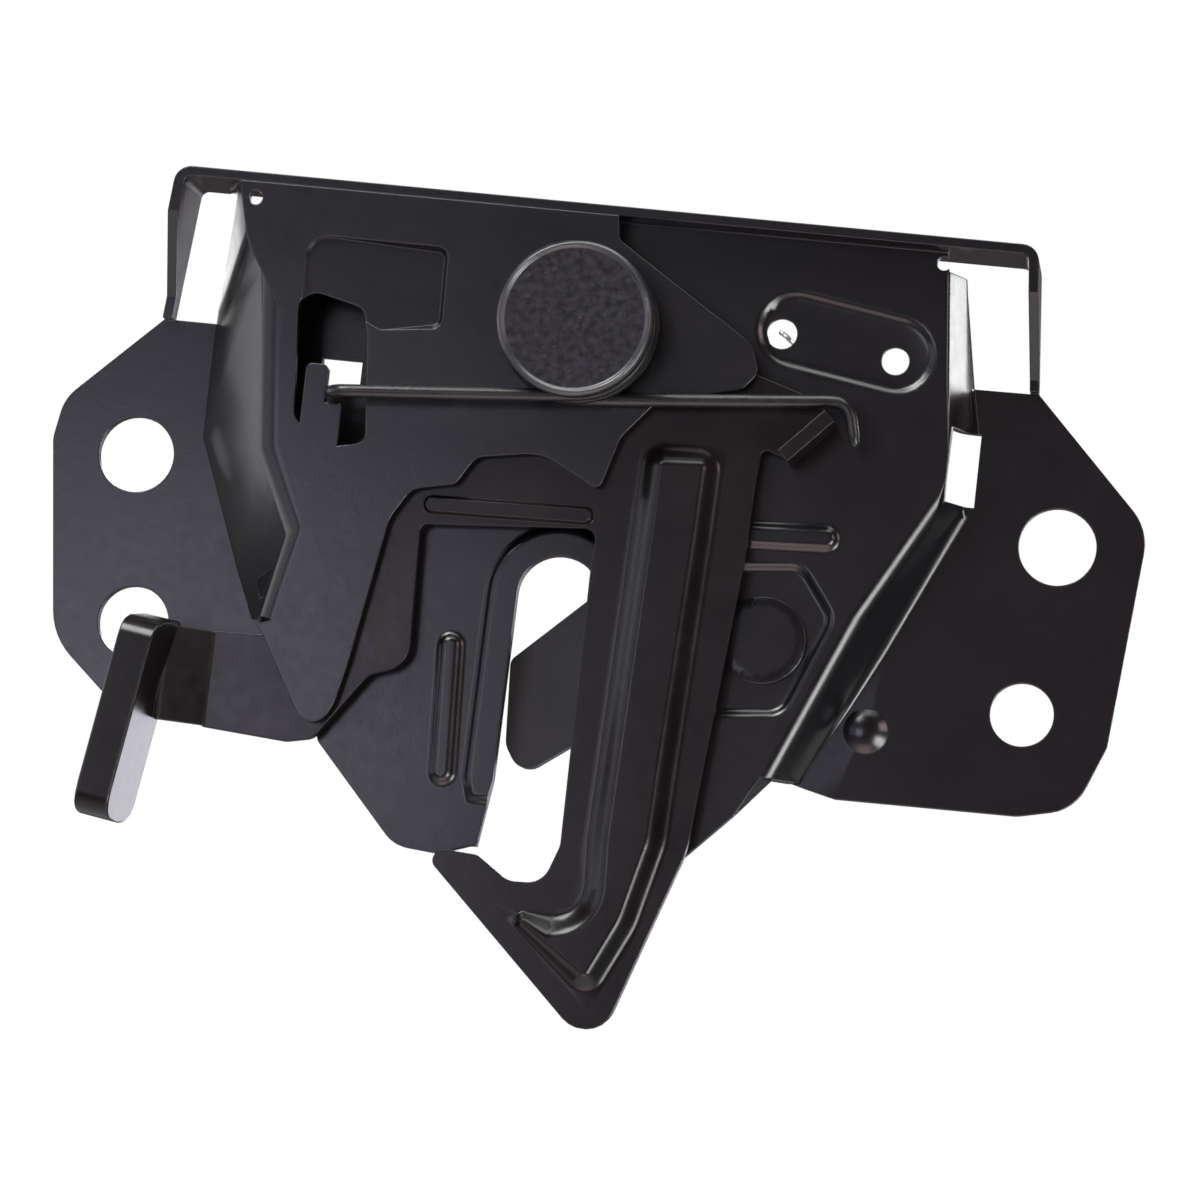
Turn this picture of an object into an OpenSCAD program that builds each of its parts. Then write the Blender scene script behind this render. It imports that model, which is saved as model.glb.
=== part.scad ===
// Bonnet latch: pressed mounting plate, safety hook with torsion spring, rotary catch and pawl.
// Frame: X to the right, Y into the vehicle panel, Z up. The origin lies midway between
// the two upper mounting holes, on the face that bolts to the panel.

/* [Mounting plate] */
// Sheet thickness of both pressed plates
sheet_t = 2; // [1.5:0.1:2.5]
// Distance between the upper mounting holes
upper_span = 160; // [150:1:170]
// Distance between the lower mounting holes
lower_span = 154; // [146:1:164]
// Drop from the upper to the lower mounting holes
hole_drop = 29; // [26:0.5:32]
// Diameter of the upper mounting holes
upper_hole_d = 13.2; // [10:0.1:14]
// Diameter of the lower left mounting hole
lower_left_d = 12.4; // [9:0.1:13]
// Diameter of the lower right mounting hole
lower_right_d = 10.8; // [9:0.1:13]
// Distance from an upper hole to the side edge of its wing
wing_edge = 15; // [12:0.5:18]
// Height of the raised middle over the wings
face_rise = 8; // [7:0.5:10]
// Height of the top rim over the upper holes
rim_z = 48.8; // [47:0.2:52]
// Thickness of the folded top rim
rim_t = 1.6; // [1.2:0.1:2.2]
// Width of the striker slot
slot_w = 14.2; // [12:0.2:16]
// Height of the pressed stiffening beads
bead_h = 1; // [0.6:0.1:1.4]
// Depth of the pressed recesses
recess_h = 1; // [0.5:0.1:1.2]

/* [Pivot stud] */
// Diameter of the textured head
head_d = 26.4; // [24:0.2:30]
// Thickness of the head
head_t = 3.2; // [2:0.1:5]
// Diameter of the stud's shank
stud_d = 10; // [8:0.5:12]
// Wall of the sleeve that the lever turns on
bush_wall = 3; // [2:0.5:4]

/* [Safety lever] */
// Sheet thickness of the lever
lever_t = 2.5; // [2:0.1:3]
// Radius of the lever's hub
lever_hub_r = 13; // [12:0.5:15]
// Drop from the upper mounting holes to the hook's tip
hook_drop = 92.6; // [90:0.2:96]
// Height of the pressed ridge along the hook
ridge_h = 2.4; // [1.5:0.1:3]
// Thickness of the hemmed finger tab
tab_t = 6.4; // [5:0.2:7]
// Depth of the finger tab
tab_depth = 11; // [9:0.5:13]
// Length of the finger tab
tab_len = 36; // [30:1:40]

/* [Lever spring] */
// Wire diameter
wire_d = 2.4; // [2:0.1:2.8]
// Radius of the coil at the middle of the wire
coil_r = 12.6; // [12:0.1:13.4]
// Number of full turns
coil_turns = 2; // [1:1:3]

/* [Catch] */
// Thickness of the rotary catch
catch_t = 4; // [3:0.5:4.5]
// Diameter of the catch's pivot
catch_pin_d = 10; // [8:0.5:12]
// Radius of the cam that the pawl rides on
cam_r = 14.6; // [14:0.2:15.4]
// Depth of the notch that the pawl drops into
notch_h = 3.4; // [2:0.2:4]
// Wire diameter of the catch's torsion spring
catch_wire_d = 1.2; // [1:0.1:1.3]

/* [Pawl] */
// Thickness of the pawl
pawl_t = 3; // [2:0.5:3.5]
// Diameter of the pawl's pivot
pawl_pin_d = 7; // [6:0.5:8]
// Coil diameter of the pawl's tension spring
pawl_coil_d = 5; // [4:0.2:5.6]

/* [Fits] */
// Radial clearance of a turning fit
run_fit = 0.05; // [0.02:0.01:0.08]
// Side clearance of a moving sheet
play = 0.6; // [0.4:0.1:0.8]
// Clearance between pieces that only rest on each other
seat_gap = 0.2; // [0.1:0.05:0.3]

/* [Hidden] */
$fn = 48;
arc_steps = 6;
coat = [0.13, 0.13, 0.15];
steel = [0.30, 0.30, 0.33];
zinc = [0.55, 0.55, 0.56];
through = 60;

// Depth levels, from the panel towards the viewer
wing_front = -sheet_t;
face_front = wing_front - face_rise;
face_back = face_front + sheet_t;
lever_back = face_front - bead_h - play;
lever_front = lever_back - lever_t;
ridge_front = lever_front - ridge_h;
cover_back = lever_front - play;
cover_front = cover_back - sheet_t;
coil_pitch = wire_d + seat_gap;
leg_back_y = cover_front - seat_gap - wire_d / 2;
leg_front_y = leg_back_y - coil_turns * coil_pitch;
head_back = leg_front_y - wire_d / 2 - seat_gap;
head_front = head_back - head_t;

// Pivot places, as [x, z]
pivot = [-3.2, 27.5];
catch_at = [32.5, -21.6];
pawl_at = [50, 4];
anchor_at = [30, 30.8];
anchor_d = 5.2;
tooling_at = [49.7, 28];
tooling_d = 4.7;

// Catch stack behind the raised middle
catch_turns = 1.5;
catch_pitch = catch_wire_d + seat_gap / 2;
catch_front = face_back + catch_turns * catch_pitch + catch_wire_d + 2 * seat_gap;
catch_back = catch_front + catch_t;
washer_t = 1;
catch_head_y = catch_back + seat_gap + washer_t;
pawl_front = catch_front + (catch_t - pawl_t) / 2;
pawl_back = pawl_front + pawl_t;

// Outline helpers
function unit(v) = v / norm(v);
function xz(p) = [p[0], p[1]];
function polar(c, r, a) = c + r * [cos(a), sin(a)];
function arc(c, r, from, to, steps) = [for (i = [0:steps]) polar(c, r, from + (to - from) * i / steps)];
function bent(p, u, w, r) =
    let (h = acos(u * w) / 2, m = p + unit(u + w) * r / sin(h))
    let (s = p + u * r / tan(h) - m, e = p + w * r / tan(h) - m)
    let (from = atan2(s[1], s[0]), turn = atan2(s[0] * e[1] - s[1] * e[0], s * e))
    arc(m, r, from, from + turn, arc_steps);
function corner(a, b, c) = len(b) < 3 ? [b] : bent(xz(b), unit(xz(a) - xz(b)), unit(xz(c) - xz(b)), b[2]);
function rounded(p) = let (n = len(p)) [for (i = [0:n - 1]) each corner(p[(i + n - 1) % n], p[i], p[(i + 1) % n])];
function stadium(a, b, r) =
    let (d = unit(b - a), g = atan2(d[1], d[0]))
    concat(arc(b, r, g - 90, g + 90, 2 * arc_steps), arc(a, r, g + 90, g + 270, 2 * arc_steps));

// Flat sheet with its outline in X and Z, from depth front to front + t
module flat(front, t) {
    translate([0, front + t, 0]) rotate([90, 0, 0]) linear_extrude(t) children();
}

// Round bar along Y, from depth y0 to y1
module bar(at, y0, y1, d) {
    translate([at[0], y1, at[1]]) rotate([90, 0, 0]) cylinder(d = d, h = y1 - y0);
}

// Ring along Y
module ring(at, y0, y1, d, bore) {
    difference() {
        bar(at, y0, y1, d);
        bar(at, y0 - 1, y1 + 1, bore);
    }
}

// Sloped side wall of a pressing, from the edge line top at depth y0 to the foot line at depth y1
function wall_inset(a, b, y0, y1, t) = t * tan(atan2(y1 - y0, norm(a - b)) / 2);
function wall_back(a, b, y0, y1, t) = t * norm(a - b) / (y1 - y0);
function wall_ring(a, b, y0, y1, t, cut) =
    let (n = unit(a - b), s = wall_inset(a, b, y0, y1, t))
    let (p = a + n * s, q = b + n * (s + (cut ? wall_back(a, b, y0, y1, t) : 0)))
    [[a[0], y0, a[1]], [b[0], y1, b[1]], [q[0], cut ? y1 : y1 + t, q[1]], [p[0], y0 + t, p[1]]];
module wall(top, foot, y0, y1, t, cut = false) {
    n = len(top);
    points = [for (i = [0:n - 1]) each wall_ring(top[i], foot[i], y0, y1, t, cut)];
    sides = [for (i = [0:n - 2]) for (k = [0:3])
        let (a = 4 * i + k, b = 4 * i + (k + 1) % 4) each [[a, a + 4, b + 4], [a, b + 4, b]]];
    ends = [[0, 1, 2], [0, 2, 3], [4 * n - 2, 4 * n - 3, 4 * n - 4], [4 * n - 1, 4 * n - 2, 4 * n - 4]];
    polyhedron(points, concat(sides, ends));
}

// Round wire swept along a path of points, its rings carried along without twist
function heading(p, i) = unit(p[min(i + 1, len(p) - 1)] - p[max(i - 1, 0)]);
function across(u, h) = unit(u - h * (u * h));
function sides_along(p) =
    [for (i = 0, u = across([0.3, 0.5, 1], heading(p, 0)); i < len(p);
        i = i + 1, u = i < len(p) ? across(u, heading(p, i)) : u) u];
module wire(path, d, sides) {
    n = len(path);
    u = sides_along(path);
    points = [for (i = [0:n - 1]) let (v = cross(heading(path, i), u[i]))
        for (k = [0:sides - 1]) path[i] + d / 2 * (u[i] * cos(360 * k / sides) + v * sin(360 * k / sides))];
    around = [for (i = [0:n - 2]) for (k = [0:sides - 1])
        let (a = i * sides + k, b = i * sides + (k + 1) % sides) each [[a, b + sides, b], [a, a + sides, b + sides]]];
    first = [for (k = [0:sides - 1]) k];
    last = [for (k = [sides - 1:-1:0]) (n - 1) * sides + k];
    polyhedron(points, concat([first], around, [last]));
}

// Mounting plate
wing_x = upper_span / 2 + wing_edge;
low_x = lower_span / 2;
left_inner = -40.6;
left_top = -36;
right_top = [[36.6, -45], [48.3, -16.9], [59.3, 2.9], [61, 10], [59, 25.6], [57.2, 44]];
right_foot = [[40.7, -44.8], [51.9, -20.9], [63.6, 4], [64.2, 10.5], [62.3, 25.6], [60.5, 44]];
rim_left = [-77.9, 24];
rim_right = [74.2, 25.8];
rim_lean = 2;
under_rim = rim_z - rim_t;
slot_at = [-2.8, -18];
slot_floor = -70;
lip_w = 5.2;

module left_wing_outline() {
    polygon(rounded([[rim_left[0], 24], [-wing_x + 1.2, 8.5, 8], [-wing_x, 1.5, 6],
        [-low_x - 13.7, -hole_drop - 4, 12], [-low_x, -hole_drop - 16, 12], [-62, -43, 8], [-47, -27, 4],
        [left_inner + 1, -22], [left_inner + 1, 44], [-60, 44, 4], [-63, 24, 3]]));
}

module right_wing_outline() {
    inner = [for (i = [0:len(right_foot) - 2])
        right_foot[i] + unit(right_top[i] - right_foot[i]) * wall_inset(right_top[i], right_foot[i],
            face_front, wing_front, sheet_t)];
    polygon(rounded(concat(inner, [[rim_right[0], 25.6], [wing_x, 4.5, 9], [low_x + 14.9, -hole_drop - 4],
        [low_x + 10.6, -hole_drop - 15, 8], [low_x + 1, -hole_drop - 17.2, 8], [47, -46.6]])));
}

module face_outline() {
    edge = [for (i = [len(right_top) - 1:-1:0]) right_top[i]];
    polygon(rounded(concat([[left_top, under_rim], [56.7, under_rim]], edge,
        [[31, -51.6, 6], [23, -60, 3], [6, -61, 3], [-13, -61.5, 3], [-18.3, -63.4, 4], [-26, -62.8, 6],
        [-41.4, -46.2, 2], [-40, -36, 3], [left_top, -22, 3]])));
}

module slot_outline(grow) {
    r = slot_w / 2 + grow;
    polygon(concat(arc(slot_at, r, 0, 180, 3 * arc_steps),
        [[slot_at[0] - r - 0.4, -50], [slot_at[0] - r - 2 + grow, -61.6], [slot_at[0] - r - 2 + grow, slot_floor],
        [slot_at[0] + r, slot_floor]]));
}

module rim() {
    top = rim_z;
    outer = [rim_left, [rim_left[0] + rim_lean, top, 3], [rim_right[0] - rim_lean, top, 3], rim_right];
    inner = [rim_right - [rim_t, 0], [rim_right[0] - rim_lean - rim_t, top - rim_t, 1.4],
        [rim_left[0] + rim_lean + rim_t, top - rim_t, 1.4], rim_left + [rim_t, 0]];
    difference() {
        flat(cover_front, -cover_front) polygon(rounded(concat(outer, inner)));
        // the legs taper back towards the wings
        translate([-through * 2, 0, 0]) rotate([90, 0, 90]) linear_extrude(through * 4)
            polygon([[cover_front - 5, top - 8], [cover_front, top - 8], [wing_front - 2, rim_right[1] + 2],
                [wing_front - 2, 20], [cover_front - 5, 20]]);
    }
}

d_recess = [[22, -9.6, 3], [38, -8, 4], [44.4, -16.6, 4], [37.4, -34, 4], [22, -35.6, 3]];
beads = [[[29, -4], [41.4, -3.4]], [[-20.2, -28], [-19.2, -49.5]]];
bead_r = 2.2;
oval_from = [32.4, 31.6];
oval_to = [49.8, 28.9];
oval_r = 6.6;
dimple_at = [51, -34.6];
dimple_r = 3.8;
cable_at = [60.4, 5.2];
relief_d = 2.4;

module base_plate() {
    color(coat) difference() {
        union() {
            flat(wing_front, sheet_t) left_wing_outline();
            flat(wing_front, sheet_t) right_wing_outline();
            flat(face_front, sheet_t) face_outline();
            wall(right_top, right_foot, face_front, wing_front, sheet_t);
            wall([[left_top, 43], [left_top, -20]], [[left_inner, 43], [left_inner, -20]], face_front,
                wing_front, sheet_t);
            rim();
            // raised lip round the slot, and the stiffening beads
            flat(face_front - bead_h, bead_h + 0.2) difference() {
                intersection() {
                    slot_outline(lip_w);
                    translate([-30, -54]) square([30 + slot_at[0] + slot_w / 2 + lip_w, 60]);
                }
                slot_outline(-1);
            }
            for (b = beads) flat(face_front - bead_h, bead_h + 0.2) polygon(stadium(b[0], b[1], bead_r));
            // domed dimple on the right wing, beside the bend
            translate([dimple_at[0], wing_front + sheet_t / 2, dimple_at[1]]) rotate([90, 0, 0]) rotate_extrude()
                polygon([[0, 0], [dimple_r, 0], [dimple_r, 1.05], [0.76 * dimple_r, 1.55], [0.47 * dimple_r, 1.95],
                    [0.2 * dimple_r, 2.15], [0, 2.2]]);
        }
        flat(face_front - 5, 10) slot_outline(0);
        for (s = [-1, 1]) bar([s * upper_span / 2, 0], -5, 5, upper_hole_d);
        bar([-low_x, -hole_drop], -5, 5, lower_left_d);
        bar([low_x, -hole_drop], -5, 5, lower_right_d);
        // recesses on the front of the raised middle
        flat(face_front - 1, recess_h + 1) polygon(rounded(d_recess));
        flat(face_front - 1, recess_h + 1) polygon(stadium(oval_from, oval_to, oval_r));
        bar(anchor_at, face_front - 3, face_back + 3, anchor_d);
        bar(tooling_at, face_front - 3, face_back + 3, tooling_d);
        bar(pivot, face_front - 3, face_back + 1, stud_d + 2 * run_fit);
        bar(catch_at, face_front - 3, face_back + 1, catch_pin_d + 2 * run_fit);
        bar([56.2, under_rim - 0.8 * relief_d], face_front - 3, face_back + 1, relief_d);
        // cable slot in the right side wall, and the window behind the spring tongue
        translate([cable_at[0], -through / 2, cable_at[1]]) cube([4.8, through, 12.6]);
        translate([-49.4, -5, 15]) cube([7, 10, 5]);
    }
}

// Front plate
cover_end = under_rim - 0.4;
cover_top = [[-64.6, cover_end], [-62, 36.5], [-57.4, 29.2], [-54.7, 1.8], [-48.9, -11.3], [-52.3, -26.8]];
cover_foot = [[-69.2, cover_end], [-68.4, 33], [-68.8, 24.3], [-68.7, 4.2], [-59.8, -18.5], [-56.4, -26.4]];
leg_left = [-44.2, 11.8];
ledge_z = leg_left[1] - wire_d / 2 - seat_gap / 2;

module cover_outline() {
    n = len(cover_top);
    past = 0.1 * (cover_top[n - 1] - cover_top[n - 2]);
    left = [for (i = [n - 2:-1:0]) cover_top[i]];
    polygon(rounded(concat([cover_top[n - 1] + past], left, [[cover_top[0][0], under_rim], [0.9, under_rim],
        [1.4, 43.2, 2], [5.6, 40.4, 3], [25.9, 27.5, 5], [27.5, 22.7, 2], [25.2, 19.8, 1.5], [10.9, 16.1, 3], [5.5, 9.6, 4],
        [2.8, 0.2, 1.2], [-7.6, 5.6, 9], [-18.6, 3.8, 3], [-21.6, -1.1, 1.5], [-29, -2.7, 4], [-32.2, -8.1, 8],
        [-36.2, -32.4, 20], [-37.9, -40.2, 8], [-41.4, -47, 3], [-51.4, -30, 2]])));
}

module window_outline() {
    polygon(rounded([[-52.4, 30, 3], [-41, 27.4, 2.5], [-39.6, 23, 2], [-37.8, 4.3, 2], [-45.3, 2.7, 2],
        [-50.6, 7.6, 3]]));
}

// Tongue that the spring's left leg rests on
module tongue_outline() {
    right = leg_left[0] - wire_d / 2 - seat_gap;
    polygon(rounded([[-49.4, 0], [-49.4, 17, 1], [right, 17, 1], [right, ledge_z], [right + 3, ledge_z, 0.6],
        [right + 3, 0]]));
}

module front_plate() {
    color(coat) difference() {
        union() {
            flat(cover_front, sheet_t) difference() {
                cover_outline();
                difference() {
                    window_outline();
                    tongue_outline();
                }
            }
            wall(cover_top, cover_foot, cover_front, wing_front, sheet_t, true);
        }
        // pressed pocket beside the window
        flat(cover_front - 1, recess_h + 1) polygon(rounded([[-52, 39, 4], [-27.4, 39, 2], [-27, 25, 2],
            [-37.6, 23.8, 1], [-40.6, 25.2], [-51.4, 27.6]]));
        bar(pivot, cover_front - 1, cover_back + 1, stud_d + 2 * run_fit);
        bar([-61.6, cover_end - relief_d], cover_front - 1, cover_back + 1, relief_d);
    }
}

// Large-headed shoulder rivet, turned about the lever's axis
hub_r = coil_r - wire_d / 2 - 3 * seat_gap;
rear_head = 1.8;
rim_ring = 1.1;

module pivot_stud() {
    profile = [[0, head_front + 0.5], [head_d / 2 - rim_ring - 0.4, head_front + 0.5],
        [head_d / 2 - rim_ring, head_front], [head_d / 2 - 0.4, head_front], [head_d / 2, head_front + 0.4],
        [head_d / 2, head_back], [hub_r, head_back], [hub_r, cover_front], [stud_d / 2, cover_front],
        [stud_d / 2, face_back], [stud_d / 2 + 3, face_back], [stud_d / 2 + 2.2, face_back + rear_head],
        [0, face_back + rear_head]];
    color(steel) translate([pivot[0], 0, pivot[1]]) rotate([-90, 0, 0]) rotate_extrude() polygon(profile);
}

bush_d = stud_d + 2 * bush_wall;
module lever_bush() {
    color(zinc) ring(pivot, cover_back, face_front, bush_d, stud_d + 2 * run_fit);
}

module lever_washer() {
    color(zinc) ring(pivot, lever_back + seat_gap, face_front, 2 * lever_hub_r - 2, bush_d + 2 * seat_gap);
}

// Safety lever
fold_x = -60.5;
fold_end = [-68.4, lever_front - 4.5];
lug_from = [32.5, 9.6];
lug_to = [39.6, 17.1];
lug_front = leg_back_y - wire_d / 2 - 1;
tab_at = [-68.2, -28.6];
tab_lean = 8.5;
tab_turn = -12;

module lever_outline() {
    polygon(rounded([[5, 37.5], [27.3, 22.6, 3], [37, 19.6, 2], [lug_to[0] + 0.6, lug_to[1] - 0.2, 0.6],
        [lug_from[0] + 0.6, lug_from[1] - 0.4, 0.6], [29.3, 10.4, 1], [28.8, 4, 3], [28.4, -9.3],
        [24.2, -58.4, 20], [14.6, 5.4 - hook_drop, 6], [10.6, -hook_drop, 5], [-18.8, -65, 1.6], [-17.8, -62.6, 1], [-11, -63, 2],
        [-5.4, -66.8, 4], [0.5, -66.6, 4], [2.8, -60, 4], [2.6, -13], [3, -6, 2], [-27.2, -8.2, 1.5],
        [-26.4, -32.6, 5], [-33, -34.6, 4], [-41.3, -46.4, 3], [-46, -47.4, 4], [fold_x, -46.4], [fold_x, -30],
        [-51.5, -29.8, 2], [-46, -19, 6], [-33, 2, 8], [-15, 22]]));
}

// Pressed ridge: a plateau that runs down the shank and turns into the hook's foot
ridge_foot = [[5.5, -58], [5.2, -69.4], [-8.6, -70.4], [10.7, 4.4 - hook_drop], [17.8, -74], [21.8, -58],
    [23.8, -9], [24.4, 11], [7.8, 11]];
ridge_top = [[9.1, -58], [8.6, -72], [-3.4, -73.4], [10, 9 - hook_drop], [15, -74], [18.6, -58], [19.8, -9],
    [20.4, 6], [12, 6]];
ridge_root = 0.6;
// Stiffening bead along the lower edge of the lever's crossbar
cross_bead = [[-25.4, -4.8], [0.6, -4.1]];
cross_bead_r = 1.6;

// Solid between two outlines with the same number of points, at depths y0 and y1;
// every point of an outline can be seen from its point number 1
module loft(foot, top, y0, y1) {
    n = len(foot);
    points = concat([for (p = foot) [p[0], y0, p[1]]], [for (p = top) [p[0], y1, p[1]]]);
    sides = [for (i = [0:n - 1]) let (j = (i + 1) % n) each [[i, n + j, j], [i, n + i, n + j]]];
    foot_cap = [for (i = [2:n - 1]) [1, i, (i + 1) % n]];
    top_cap = [for (i = [2:n - 1]) [n + 1, n + (i + 1) % n, n + i]];
    polyhedron(points, concat(foot_cap, sides, top_cap));
}

module finger_tab() {
    y1 = fold_end[1] + 2.5;
    outline = rounded([[y1, 0, 2], [y1 - tab_depth, -2, 4], [y1 - tab_depth, -tab_len, 4], [y1, -tab_len, 4]]);
    translate([tab_at[0], 0, tab_at[1]]) rotate([0, tab_lean, 0]) translate([0, y1, 0]) rotate([0, 0, tab_turn])
        translate([-tab_t / 2, -y1, 0]) rotate([90, 0, 90]) linear_extrude(tab_t) polygon(outline);
}

module safety_lever() {
    out = lug_to - lug_from;
    inside = 0.4;
    strip_z = [-46.2, -30.2];
    color(coat) difference() {
        union() {
            flat(lever_front, lever_t) union() {
                lever_outline();
                translate(pivot) circle(r = lever_hub_r);
            }
            loft(ridge_foot, ridge_top, lever_front + ridge_root, ridge_front);
            flat(lever_front - bead_h, bead_h + ridge_root)
                polygon(stadium(cross_bead[0], cross_bead[1], cross_bead_r));
            // lug folded forward under the spring's right leg
            translate([lug_from[0], lug_front, lug_from[1]]) rotate([0, -atan2(out[1], out[0]), 0])
                translate([0, 0, -lever_t]) cube([norm(out), lever_back - inside - lug_front, lever_t]);
            // strip folded forward, with the hemmed tab at its end
            translate([0, 0, strip_z[0]]) linear_extrude(strip_z[1] - strip_z[0])
                polygon([[fold_x + 1, lever_back - inside], [fold_x + 1, lever_front + inside],
                    [fold_end[0] + 1, fold_end[1] - 1.4], [fold_end[0] - 0.6, fold_end[1] + 1]]);
            finger_tab();
        }
        bar(pivot, lever_front - 1, lever_back + 1, bush_d + 2 * run_fit);
    }
}

// Torsion spring of the safety lever
leg_right = [43.4, 19.2];
leg_drop = [45.4, 11];
coil_low = pivot - [-0.9, coil_r];

module lever_spring() {
    steps = 24;
    coil = [for (i = [0:steps * coil_turns]) let (p = polar(pivot, coil_r, -86 + 360 * i / steps))
        [p[0], leg_front_y + coil_pitch * i / steps, p[1]]];
    left = [for (p = rounded([[leg_left[0], cover_front + 6], [leg_left[0], leg_front_y, 3.5],
        [coil_low[0] - 6, leg_front_y]])) [p[0], p[1], leg_left[1]]];
    rise = (coil_low[1] - leg_left[1]) / (coil_low[0] - leg_left[0]);
    right = [for (p = rounded([coil_low, [leg_right[0], leg_right[1], 3.5], leg_drop])) [p[0], leg_back_y, p[1]]];
    lifted = [for (p = left) if (p[0] < coil_low[0] - 7) [p[0], p[1], p[2] + rise * (p[0] - leg_left[0])]];
    tail = [for (i = [1:len(right) - 1]) right[i]];
    color(steel) wire(concat(lifted, coil, tail), wire_d, 10);
}

// Rotary catch: the nose shows in the slot, the lower jaw waits behind the hook's shank
module catch_outline() {
    nose = [[-22, 12.6, 5], [-43, -7.4, 2], [-42.2, -21.9, 4], [-39.1, -26.8, 3]];
    mouth = [[-18.5, -11.6, 5], [-12, -20.5, 5]];
    jaw = [[-27, -31.6, 3], [-23.5, -36.6, 3], [-6, -30, 10], [9, -14, 10], [13, 2, 6]];
    cam = arc([0, 0], cam_r, pawl_tip_a - 4, pawl_tip_a + 46, 3 * arc_steps);
    step = [polar([0, 0], cam_r - notch_h, pawl_tip_a + 48)];
    polygon(rounded(concat(cam, step, nose, mouth, jaw)));
}

module catch() {
    color(steel) difference() {
        translate([catch_at[0], 0, catch_at[1]]) flat(catch_front, catch_t) catch_outline();
        bar(catch_at, catch_front - 1, catch_back + 1, catch_pin_d + 2 * run_fit);
        bar(catch_at + catch_leg, catch_front - 1, catch_back + 1, catch_wire_d + 0.8);
    }
}

module catch_rivet() {
    floor_y = face_front + recess_h;
    r = catch_pin_d / 2;
    profile = [[0, floor_y - 1.4], [r + 0.6, floor_y - 1.4], [r + 2.4, floor_y - 0.9], [r + 2.4, floor_y], [r, floor_y],
        [r, catch_head_y], [r + 2.6, catch_head_y], [r + 1.6, catch_head_y + 1.6], [0, catch_head_y + 1.6]];
    color(steel) translate([catch_at[0], 0, catch_at[1]]) rotate([-90, 0, 0]) rotate_extrude() polygon(profile);
}

module catch_washer() {
    color(zinc) ring(catch_at, catch_back + seat_gap, catch_head_y, catch_pin_d + 8, catch_pin_d + 2 * run_fit);
}

// Torsion spring on the catch's pivot, between plate and catch
catch_coil_r = catch_pin_d / 2 + 2.4;
catch_leg = [-10.5, -2.5];

module catch_spring() {
    steps = 24;
    y0 = face_back + seat_gap + catch_wire_d / 2;
    end = y0 + catch_turns * catch_pitch;
    coil = [for (i = [0:steps * catch_turns]) let (p = polar(catch_at, catch_coil_r, 360 * i / steps))
        [p[0], y0 + catch_pitch * i / steps, p[1]]];
    foot = catch_at + [catch_coil_r, -8.5];
    hook = catch_at + catch_leg;
    color(zinc) wire(concat([[foot[0], y0, foot[1]], [foot[0], y0, foot[1] + 4]], coil,
        [[hook[0], end, hook[1]], [hook[0], catch_front + catch_t / 2, hook[1]]]), catch_wire_d, 8);
}

// Release pawl: its tip rides on the catch's cam, the cable pulls its upper arm
pawl_tip_a = 75;
pawl_tip = polar(catch_at, cam_r + 0.3, pawl_tip_a);
spring_eye = [50.6, 19];
cable_eye = [54.2, 13.4];

module pawl() {
    back = polar(catch_at, cam_r + 9, pawl_tip_a + 4);
    fore = polar(catch_at, cam_r + 4, pawl_tip_a - 18);
    tip_r = polar(catch_at, cam_r + 0.3, pawl_tip_a - 8);
    color(steel) difference() {
        union() {
            flat(pawl_front, pawl_t) polygon(rounded([pawl_tip, [back[0], back[1], 2], pawl_at + [-3, 5],
                [47.6, 21.6, 2.5], [53.4, 22, 2.5], [57, 13, 2.5], pawl_at + [5.5, -2], pawl_at + [2, -6],
                [fore[0], fore[1], 2], tip_r]));
            bar(pawl_at, pawl_front, pawl_back, pawl_pin_d + 7);
        }
        bar(pawl_at, pawl_front - 1, pawl_back + 1, pawl_pin_d + 2 * run_fit);
        bar(spring_eye, pawl_front - 1, pawl_back + 1, 2.2);
        bar(cable_eye, pawl_front - 1, pawl_back + 1, 3.6);
    }
}

pawl_head_y = pawl_back + seat_gap + washer_t;
module pawl_pin() {
    r = pawl_pin_d / 2;
    profile = [[0, face_back], [r + 2.4, face_back], [r + 2.4, pawl_front - seat_gap], [r, pawl_front - seat_gap],
        [r, pawl_head_y], [r + 1.8, pawl_head_y], [r + 1, pawl_head_y + 1.2], [0, pawl_head_y + 1.2]];
    color(steel) translate([pawl_at[0], 0, pawl_at[1]]) rotate([-90, 0, 0]) rotate_extrude() polygon(profile);
}

module pawl_washer() {
    color(zinc) ring(pawl_at, pawl_back + seat_gap, pawl_head_y, pawl_pin_d + 6, pawl_pin_d + 2 * run_fit);
}

// Tension spring from the hole in the oval recess to the pawl's upper arm
pawl_wire_d = 0.9;
module pawl_spring() {
    steps = 9;
    turns = 12;
    y = pawl_front + pawl_t / 2;
    r = (pawl_coil_d - pawl_wire_d) / 2;
    run = spring_eye - anchor_at;
    along = unit(run);
    across = [-along[1], along[0]];
    from = 6.5;
    pitch = (norm(run) - 2 * from) / turns;
    function on(s, u, v) = let (p = anchor_at + along * s + across * u) [p[0], y + v, p[1]];
    coil = [for (i = [0:steps * turns]) on(from + pitch * i / steps, r * cos(360 * i / steps), r * sin(360 * i / steps))];
    hook_a = [on(-0.4, 0, face_front - y + 0.6), on(0, 0, face_front - y - 0.6), on(1.4, 0, face_front - y - 0.2),
        on(1.6, 0, face_back - y + 1), on(3, 0, -1.5), on(4.5, 1, -0.6)];
    hook_b = [on(norm(run) - 5.4, 1, 1.2), on(norm(run) - 4.2, 0.4, pawl_t / 2 + 0.8), on(norm(run) - 0.8, 0, pawl_t / 2 + 1),
        on(norm(run), 0, pawl_t / 2), on(norm(run) + 0.1, 0, -pawl_t / 2 - 0.6)];
    color(zinc) wire(concat(hook_a, coil, hook_b), pawl_wire_d, 6);
}

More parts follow.
